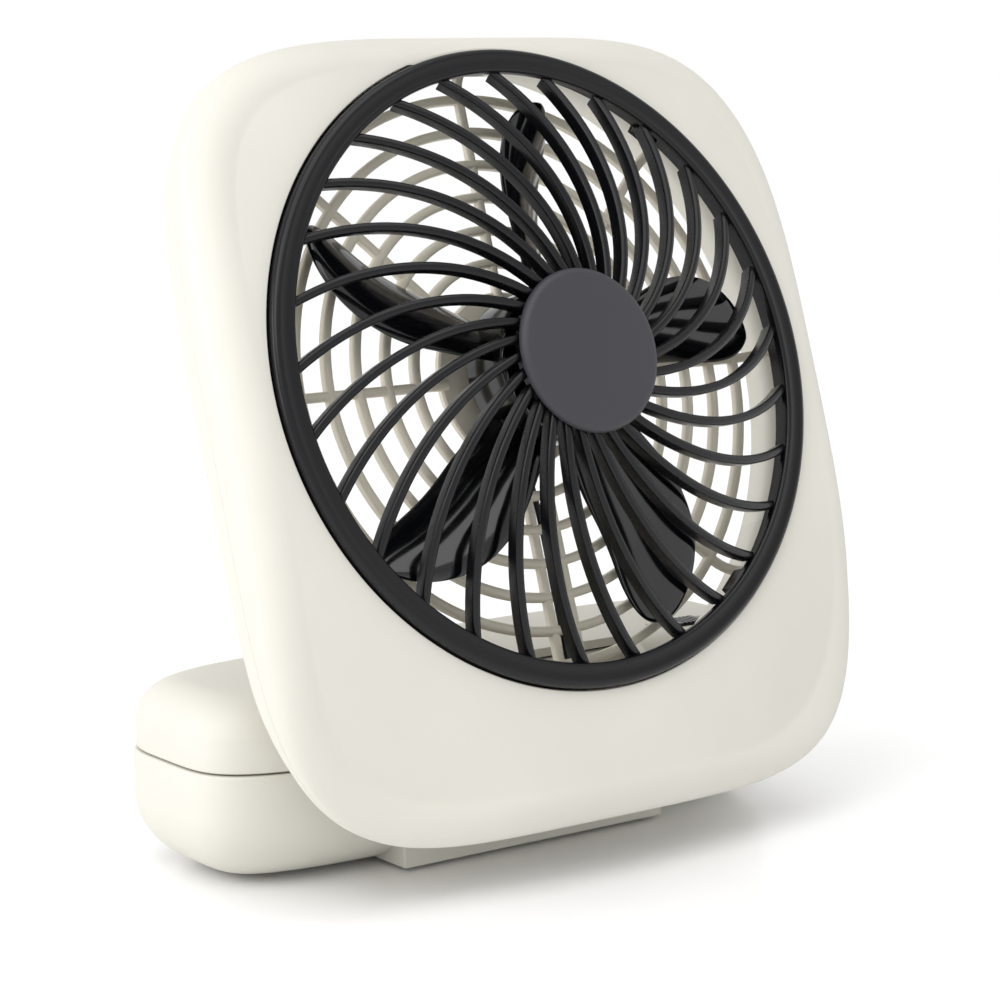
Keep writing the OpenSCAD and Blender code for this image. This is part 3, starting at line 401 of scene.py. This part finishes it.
# Ribs: each follows a circular arc seen from the front and lies on the dome. The section is carried along
# with one vector across the rib in the plane of the ring and one square to the dome.
def frontGrille():
    r = np.linspace(grille["ribIn"], grille["ringR"] - grille["ringW"] + 0.7, 34)
    arc, off = grille["arc"], grille["off"]
    bend = pi / 2 - np.arccos((r * r + off * off - arc * arc) / (2 * r * off))
    parts = []
    section = ribSection(grille["ribW"], grille["ribT"])
    for k in range(grille["ribs"]):
        a = bend + math.radians(k * 360 / grille["ribs"] + grille["turn"])
        path = np.stack([r * np.cos(a), r * np.sin(a), domeAt(r)], -1)
        along = np.gradient(path, axis=0)
        along /= np.linalg.norm(along, axis=1, keepdims=True)
        side = np.cross(along, [0, 0, 1.0])
        side /= np.linalg.norm(side, axis=1, keepdims=True)
        parts.append(sweepPart(path, side, np.cross(side, along), section, inHead))
    out, inn, seat = grille["ringR"], grille["ringR"] - grille["ringW"], grille["seatR"]
    # the ring: round shoulder outside, a shallow hollow across its face, a small round edge inside
    shoulder = [(out - 1.5 * (1 - math.cos(a)), 0.75 - 1.5 * (1 - math.sin(a))) for a in np.linspace(0, pi / 2, 9)]
    face = [(out - 1.5 - k * (grille["ringW"] - 2.4), 0.75 - 0.3 * math.sin(pi * k))
            for k in np.linspace(0, 1, 9)[1:-1]]
    inside = [(inn + 0.9 * (1 - math.sin(a)), 0.75 - 0.9 * (1 - math.cos(a))) for a in np.linspace(0, pi / 2, 6)]
    profile = [(seat - 1.2, -7.0), (seat, -7.0), (seat, -2.9), (out, -2.9)] + shoulder + face + inside
    profile += [(inn, -1.2), (seat - 1.2, -1.4)]
    parts.append(lathePart(profile, inHead, 320, ring=True))
    top = domeAt(15.0)
    parts.append(lathePart([(0.01, top - 3), (16.2, top - 3), (16.4, top - 2.8), (16.4, top), (0.01, top)], inHead))
    for degrees in (50, 130, 230, 310):
        c, s = math.cos(math.radians(degrees)), math.sin(math.radians(degrees))
        turn = lambda p, c=c, s=s: inHead(np.stack(
            [p[..., 0] * c - p[..., 1] * s, p[..., 0] * s + p[..., 1] * c, p[..., 2]], -1))
        parts.append(boxPart((66.4, -3, -8.4), (67.6, 3, -5), turn))
        parts.append(boxPart((66.4, -3, -8.4), (70, 3, -7.15), turn))
    return newPiece("frontGrilleMoulding", parts, charcoalAbs)


# Cap: a flat disc with a soft shoulder, very slightly domed
def grilleCap():
    low, r, t = domeAt(15.0), grille["capR"], grille["capT"]
    rows = [(0.01, low), (r - 0.5, low), (r, low + 0.5)]
    rows += [(r - 1.7 * (1 - math.cos(a)), low + t - 0.7 - 1.7 * (1 - math.sin(a)))
             for a in np.linspace(0, pi / 2, 12)]
    rows += [(r * k, low + t - 0.7 * (k * r / (r - 1.7)) ** 2) for k in np.linspace(0.88, 0.001, 16)]
    return newPiece("grilleCapDisc", [lathePart(rows, inHead, 192)], etchedAbs, sharp=50)


standFor(frontGrille(), "head", "dark_plastic", "front_grille")
standFor(grilleCap(), "head", "cap_plastic", "grille_cap")


rear = {"n": -13.8, "t": 2.4, "w": 2.1, "rings": 6, "ringIn": 26.0, "pitch": 7.4, "spokes": 8, "plateR": 19.6,
        "channel": 6.0, "legR": 70.7}


# a bar's section with rounded front corners and slightly rounded back: (sideways, upwards from its front)
def barSection(width, depth, radius=0.85):
    a = np.linspace(0, pi / 2, 6)
    right = np.stack([width / 2 - radius * (1 - np.sin(a)), -radius * (1 - np.cos(a))], -1)
    left = right[::-1] * [-1, 1]
    foot = np.array([[-width / 2, -depth + 0.4], [-width / 2 + 0.4, -depth], [width / 2 - 0.4, -depth],
                     [width / 2, -depth + 0.4]])
    return np.vstack([left, right, foot[::-1]])


# Spokes run straight out from the plate, then turn forward in a quarter circle into the rim
def rearGrille():
    parts = []
    section = barSection(rear["w"], rear["t"])
    for k in range(rear["rings"]):
        r = rear["ringIn"] + k * rear["pitch"]
        parts.append(lathePart([(r + x, rear["n"] + y) for x, y in section], inHead, 200, ring=True))
    bend = 5.9
    a = np.linspace(0, pi / 2, 10)
    flat = rear["legR"] - 1.0 - bend
    r = np.concatenate([[rear["plateR"] - 1.5, 40.0], flat + bend * np.sin(a), [rear["legR"] - 1.0]])
    z = np.concatenate([[-1.2, -1.2], -1.2 + bend * (1 - np.cos(a)), [rear["n"] * -1 - 6.0]]) + rear["n"]
    tangent = np.gradient(np.stack([r, z], -1), axis=0)
    tangent /= np.linalg.norm(tangent, axis=1, keepdims=True)
    spokes = [(k * 2 * pi / rear["spokes"], 0.0) for k in range(rear["spokes"]) if k != 6]
    spokes += [(1.5 * pi, s * rear["channel"] / 2) for s in (-1, 1)]
    for angle, shift in spokes:
        outward = np.array([math.cos(angle), math.sin(angle), 0])
        across = np.array([-math.sin(angle), math.cos(angle), 0])
        path = r[:, None] * outward + shift * across + z[:, None] * np.array([0, 0, 1.0])
        up = -tangent[:, 1:] * outward + tangent[:, :1] * np.array([0, 0, 1.0])
        offset = section + [0, rear["t"] / 2]
        parts.append(sweepPart(path, np.broadcast_to(across, path.shape), up, offset * [0.98, 0.85], inHead))
    parts.append(lathePart([(68.8, -7), (70.8, -7), (70.8, -5.3), (68.8, -5.3)], inHead, 200, ring=True))
    plate = newPiece("rearGrilleMoulding", parts, rearAbs)
    disc = newPiece("disc", [lathePart([(0.01, -17), (19.2, -17), (19.6, -16.6), (19.6, -15.4), (19.2, -15),
                                        (0.01, -15)], inHead, 96)], rearAbs)
    holes = [lathePart([(3.4, -18), (3.4, -14)], inHead, 48)]
    for s in (-1, 1):
        holes.append(lathePart([(1.15, -18), (1.15, -14)], inHead, 24, centre=(8 * s, 0)))
        holes.append(boxPart((-2.2, 8 * s - 1.2, -18), (2.2, 8 * s + 1.2, -14), inHead))
    combine(disc, "DIFFERENCE", newPiece("holes", holes, rearAbs))
    return joinPieces(plate, disc)


# puts the second piece's mesh into the first
def joinPieces(first, second):
    with bpy.context.temp_override(active_object=first, selected_editable_objects=[first, second]):
        bpy.ops.object.join()
    return first


standFor(rearGrille(), "head", "rear_plastic", "rear_grille")


fan = {"tipR": 58.8 + 2.7, "blades": 5, "hubR": 16.8, "hubTop": 4.2, "hubH": 13.0, "half": 9.0,
       "pitchRoot": 40.0, "pitchTip": 24.0, "thick": 1.3, "turn": 1.0}


# Blades: at each radius a chord of given half width is pitched and cambered; two skins half a thickness
# either side meet at rounded edges. Rows crowd towards the rounded tip.
def impeller():
    tip, hub = fan["tipR"], fan["hubR"]
    shoulder = tip - 14.5
    r = hub - 0.8 + (tip - hub + 0.8) * np.sin(np.linspace(0, pi / 2, 44))
    grow = np.sin(pi / 2 * np.clip((r - hub) / (shoulder - hub), 0, 1))
    tipShape = np.sqrt(np.maximum(1 - ((r - shoulder) / (tip - shoulder)) ** 2, 0.0004))
    half = np.where(r < shoulder, 5.6 + (fan["half"] - 5.6) * grow, fan["half"] * tipShape)[:, None]
    share = ((r - hub) / (tip - hub))[:, None]
    mid = (12 - 10 * (np.maximum(r - 35, 0) / (tip - 35)) ** 1.6)[:, None]
    s = np.concatenate([-np.cos(np.linspace(0, pi, 26)), np.cos(np.linspace(0, pi, 26))[1:-1]])[None]
    skin = np.concatenate([np.ones(26), -np.ones(24)])[None]
    pitch = np.radians(fan["pitchRoot"] + (fan["pitchTip"] - fan["pitchRoot"]) * share)
    height = -3 - 4.4 * share + s * half * np.tan(pitch) + 1.4 * (1 - s * s) * half / fan["half"]
    height = height + skin * fan["thick"] / 2 * np.sqrt(np.maximum(1 - s ** 4, 0))
    parts = []
    for k in range(fan["blades"]):
        a = np.radians(mid + k * 360 / fan["blades"] + fan["turn"]) + s * half / r[:, None]
        parts.append(gridPart(inHead(np.stack([r[:, None] * np.cos(a), r[:, None] * np.sin(a), height], -1))))
    top, low = fan["hubTop"], fan["hubTop"] - fan["hubH"]
    edge = [(hub - 1.2 * (1 - math.cos(a)), top - 1.2 * (1 - math.sin(a))) for a in np.linspace(0, pi / 2, 8)]
    cup = [(hub, low)] + edge + [(0.01, top), ]
    cup = [(hub - 1.6, top - 2), (hub - 1.6, low), ] + cup
    parts.append(lathePart([(0.01, top - 2)] + cup, inHead, 128))
    parts.append(lathePart([(1.05, -1.5), (3, -1.5), (3, top - 1.9), (1.05, top - 1.9)], inHead, 48, ring=True))
    return newPiece("impellerMoulding", parts, blackStyrene, sharp=40)


standFor(impeller(), "rotor", "black_plastic", "impeller")


base = {"halfW": 79.7, "halfD": 26.9, "q": 4.2, "front": -5.5, "bottom": 0.8, "seam": 25.7, "band": 33.9,
        "top": 41.1, "slope": 9.2, "fillet": 15.5, "inset": 0.5, "wall": 2.0, "floor": 3.0, "lip": 0.45}
baseAround = evenAngles(base["halfW"], base["halfD"], base["q"], 480)
baseMid = base["front"] + base["halfD"]


def baseEdge(offset):
    x, y = oval(base["halfW"] - offset, base["halfD"] - offset, base["q"], baseAround)
    return np.stack([x, y + baseMid], -1)


# Lower shell: flat bottom, a quarter-circle edge, upright side with a rounded rim, and the same inside
def baseSkin(name):
    r, wall, lip = base["fillet"], base["wall"], base["lip"]
    rows = []
    for a in np.linspace(0, pi / 2, 22):
        rows.append(loopAt(baseEdge(r * (1 - math.sin(a)) + 0.01), base["bottom"] + r * (1 - math.cos(a))))
    for a in np.linspace(0, pi / 2, 6):
        rows.append(loopAt(baseEdge(lip * (1 - math.cos(a)) + 0.01), base["seam"] - lip * (1 - math.sin(a))))
    rows.append(loopAt(baseEdge(wall), base["seam"]))
    inner = r - wall
    for a in np.linspace(pi / 2, 0, 12):
        rows.append(loopAt(baseEdge(wall + inner * (1 - math.sin(a))), base["floor"] + inner * (1 - math.cos(a))))
    return newPiece(name, [gridPart(inBase(np.array(rows)))], shellAbs)


door = {"half": 56.0, "gap": 0.25, "front": 11.5, "top": 17.0, "tabX": 30.0, "tabHalf": 6.0, "tabL": 3.0}
bay = {"half": 33.0, "back": 6.6, "floor": 14.0, "cheek": 2.4, "wall": 1.8}


def baseShell():
    shell = baseSkin("baseShellSkin")
    front, back = base["front"], base["front"] + 2 * base["halfD"]
    cuts = [boxPart((-bay["half"], front - 1, bay["floor"]), (bay["half"], bay["back"], 45), inBase),
            boxPart((-door["half"] - door["gap"], door["front"] - door["gap"], -1),
                    (door["half"] + door["gap"], back + 1, door["top"] + door["gap"]), inBase)]
    combine(shell, "DIFFERENCE", newPiece("cuts", cuts, shellAbs))
    # the bay that the hinge lugs stand in: front lip, cheeks and back wall
    lipHalf, lipY, wallY = 36.0, front + 1.1, bay["back"] + bay["wall"]
    parts = [boxPart((-lipHalf, lipY, base["bottom"]), (lipHalf, wallY, bay["floor"]), inBase),
             boxPart((-bay["half"] - bay["cheek"], bay["back"], 12),
                     (bay["half"] + bay["cheek"], wallY, 38.5), inBase)]
    outline = np.array([[front + 1, 12], [front + 1, 22.5], [front + 3.2, 22.5], [front + 3.2, 31.2],
                        [front + 11.1, 38.6], [wallY, 38.6], [wallY, 12]])
    for s in (-1, 1):
        x0 = s * (bay["half"] + bay["cheek"] / 2)
        rows = [np.column_stack([np.full(7, x0 + d * bay["cheek"] / 2), outline]) for d in (-1, 1)]
        parts.append(gridPart(inBase(np.array(rows))))
    hingeBay = newPiece("hingeBay", parts, shellAbs)
    soften(hingeBay, 0.5)
    return joinPieces(shell, hingeBay)


# rounds every edge of a small piece and keeps the result
def soften(piece, width, segments=3):
    step = piece.modifiers.new("soft", "BEVEL")
    step.width, step.segments, step.limit_method = width * mm, segments, "ANGLE"
    bpy.context.view_layer.update()
    result = bpy.data.meshes.new_from_object(piece.evaluated_get(bpy.context.evaluated_depsgraph_get()))
    piece.modifiers.clear()
    piece.data = result
    return piece


def batteryDoor():
    piece = baseSkin("batteryDoorSkin")
    back = base["front"] + 2 * base["halfD"]
    combine(piece, "INTERSECT", newPiece("keep", [boxPart((-door["half"], door["front"], -1),
                                                          (door["half"], back + 1, door["top"]), inBase)], shellAbs))
    # thumb ridges on the back of the door
    ridges = []
    for k in range(5):
        z = 6.5 + 2 * k
        below = max(base["fillet"] + base["bottom"] - z, 0)
        dent = base["fillet"] - math.sqrt(base["fillet"] ** 2 - below ** 2)
        a = np.linspace(0, 2 * pi, 13)[:-1]
        path = np.stack([np.linspace(-11, 11, 12), np.full(12, back - dent - 0.45), np.full(12, z)], -1)
        fade = np.sin(np.linspace(0.08, pi - 0.08, 12))[:, None] ** 0.3
        side = np.tile([0, 1.0, 0], (12, 1)) * fade
        up = np.tile([0, 0, 1.0], (12, 1)) * fade
        ridges.append(sweepPart(path, side, up, 0.5 * np.stack([np.cos(a), np.sin(a)], -1), inBase))
    halfTab, tabL = door["tabHalf"], door["tabL"]
    tabs = [boxPart((s * door["tabX"] - halfTab, door["front"] - tabL, 1.9),
                    (s * door["tabX"] + halfTab, door["front"] + tabL, 3.0), inBase) for s in (-1, 1)]
    return joinPieces(piece, newPiece("ridges", ridges + tabs, shellAbs))


# Lid: upright band with rounded lower rim, a crease, an elliptical slope and a nearly flat top
def baseLid():
    low, inset, wall, slope = base["seam"] + 0.4, base["inset"], base["wall"], base["slope"]
    rise, lip = base["top"] - base["band"], base["lip"]
    rows = [loopAt(baseEdge(inset + slope + 6), base["top"] - wall)]
    for a in np.linspace(pi / 2, 0, 8):
        rows.append(loopAt(baseEdge(inset + wall + 0.2 + slope * (1 - math.cos(a))),
                           base["band"] - wall + rise * math.sin(a)))
    rows += [loopAt(baseEdge(inset + wall), low + 1), loopAt(baseEdge(wall + 1.2), low),
             loopAt(baseEdge(wall + 1.2), low - 2.4), loopAt(baseEdge(wall + 0.4), low - 2.4),
             loopAt(baseEdge(wall + 0.4), low)]
    for a in np.linspace(pi / 2, 0, 6):
        rows.append(loopAt(baseEdge(inset + lip * (1 - math.cos(a))), low + lip * (1 - math.sin(a))))
    rows.append(loopAt(baseEdge(inset), base["band"] - 0.5))
    rows.append(loopAt(baseEdge(inset + 0.12), base["band"] - 0.12))
    for a in np.linspace(0.20, pi / 2, 22):
        ease = 0.2 * (1 - a / (pi / 2)) ** 2  # lets the slope start gently above the crease
        rows.append(loopAt(baseEdge(inset + 0.2 + slope * (1 - math.cos(a))),
                           base["band"] + rise * (math.sin(a) - ease)))
    rows.append(loopAt(baseEdge(inset + slope + 6), base["top"]))
    lid = newPiece("baseLidSkin", [gridPart(inBase(np.array(rows)))], shellAbs)
    front, x, y, top = base["front"], 54.0, 9.0, base["top"]
    cuts = [boxPart((-bay["half"], front - 1, 20), (bay["half"], bay["back"], 45), inBase)]
    seat = [boxPart((-35.6, front - 1, 21.7), (35.6, bay["back"] + 2, 27.7), inBase)]
    slot = [boxPart((x - 5.4, y - 1.4, top - 3), (x + 5.4, y + 1.4, top), inBase)]
    # the switch's recess has slanted walls
    rim = np.array([[-9, -3.6], [9, -3.6], [9, 3.6], [-9, 3.6]], float)
    recess = np.array([np.column_stack([rim * k + [x, y], np.full(4, z)])
                       for k, z in ((1.0, top - 0.7), (1.06, top + 1.0))])
    cuts.append(gridPart(inBase(recess)))
    tools = [newPiece(name, parts, shellAbs) for name, parts in (("cuts", cuts), ("seat", seat), ("slot", slot))]
    return combine(lid, "DIFFERENCE", *tools)


standFor(baseShell(), "base", "shell", "base_shell")
standFor(batteryDoor(), "door", "shell", "battery_door")
standFor(baseLid(), "base", "shell", "base_lid")


stage = {"size": 60.0, "low": 1.06, "high": 0.66, "sun": 1.1, "sunSpread": 60, "sheen": 2.2, "side": 3.6}
floorMaterial = surface("satin white card", "#fcfcfc", "#fafafa", 0.22, grain=2, height=0.0, drift=400, spread=0.02)
half = stage["size"] / 2
corners = np.array([[-half, -half, 0], [half, -half, 0], [half, half, 0], [-half, half, 0]])
floorMesh = bpy.data.meshes.new("floor")
floorMesh.from_pydata(corners.tolist(), [], [(0, 1, 2, 3)])
floorMesh.materials.append(floorMaterial)
floorPiece = bpy.data.objects.new("floor", floorMesh)
bpy.context.scene.collection.objects.link(floorPiece)

world = bpy.data.worlds.new("soft white studio")
world.use_nodes = True
world.node_tree.nodes.clear()
# white round the horizon, a little darker overhead
sky = addNode(world.node_tree, "ShaderNodeTexCoord")
height = addNode(world.node_tree, "ShaderNodeSeparateXYZ", links={"Vector": sky.outputs["Generated"]})
glow = addNode(world.node_tree, "ShaderNodeMapRange",
               {"From Min": 0.1, "From Max": 0.6, "To Min": stage["low"], "To Max": stage["high"]},
               {"Value": height.outputs["Z"]})
air = addNode(world.node_tree, "ShaderNodeBackground", {"Color": (1, 1, 1, 1)}, {"Strength": glow.outputs["Result"]})
addNode(world.node_tree, "ShaderNodeOutputWorld", links={"Surface": air.outputs["Background"]})
bpy.context.scene.world = world
bpy.context.scene.view_settings.view_transform = "Standard"


# a light at a place, aimed at the middle of the fan
def aimedLight(name, kind, place, strength, **settings):
    data = bpy.data.lights.new(name, kind)
    data.energy = strength
    for key, value in settings.items():
        setattr(data, key, value)
    light = bpy.data.objects.new(name, data)
    light.location = place
    light.rotation_euler = (Vector((0, 0, 0.09)) - Vector(place)).to_track_quat("-Z", "Y").to_euler()
    bpy.context.scene.collection.objects.link(light)


aimedLight("broad soft key", "SUN", (-0.1, -0.25, 1.0), stage["sun"], angle=math.radians(stage["sunSpread"]))
aimedLight("sheen from the upper left", "AREA", (-0.75, -0.35, 0.75), stage["sheen"], size=0.5)
aimedLight("side light from the left", "AREA", (-0.9, 0.35, 0.35), stage["side"], size=0.6)

view = {"place": (-385.65, -504.71, 181.51), "yaw": 37.2, "pitch": -9.45, "lens": 105.6}
camera = bpy.data.objects.new("camera", bpy.data.cameras.new("camera"))
bpy.context.scene.collection.objects.link(camera)
camera.data.lens = view["lens"]
camera.data.sensor_width = 36
camera.location = Vector(view["place"]) * mm
yaw, pitch = math.radians(view["yaw"]), math.radians(view["pitch"])
look = Vector((math.sin(yaw) * math.cos(pitch), math.cos(yaw) * math.cos(pitch), math.sin(pitch)))
camera.rotation_euler = look.to_track_quat("-Z", "Y").to_euler()
bpy.context.scene.camera = camera
print("stage set")
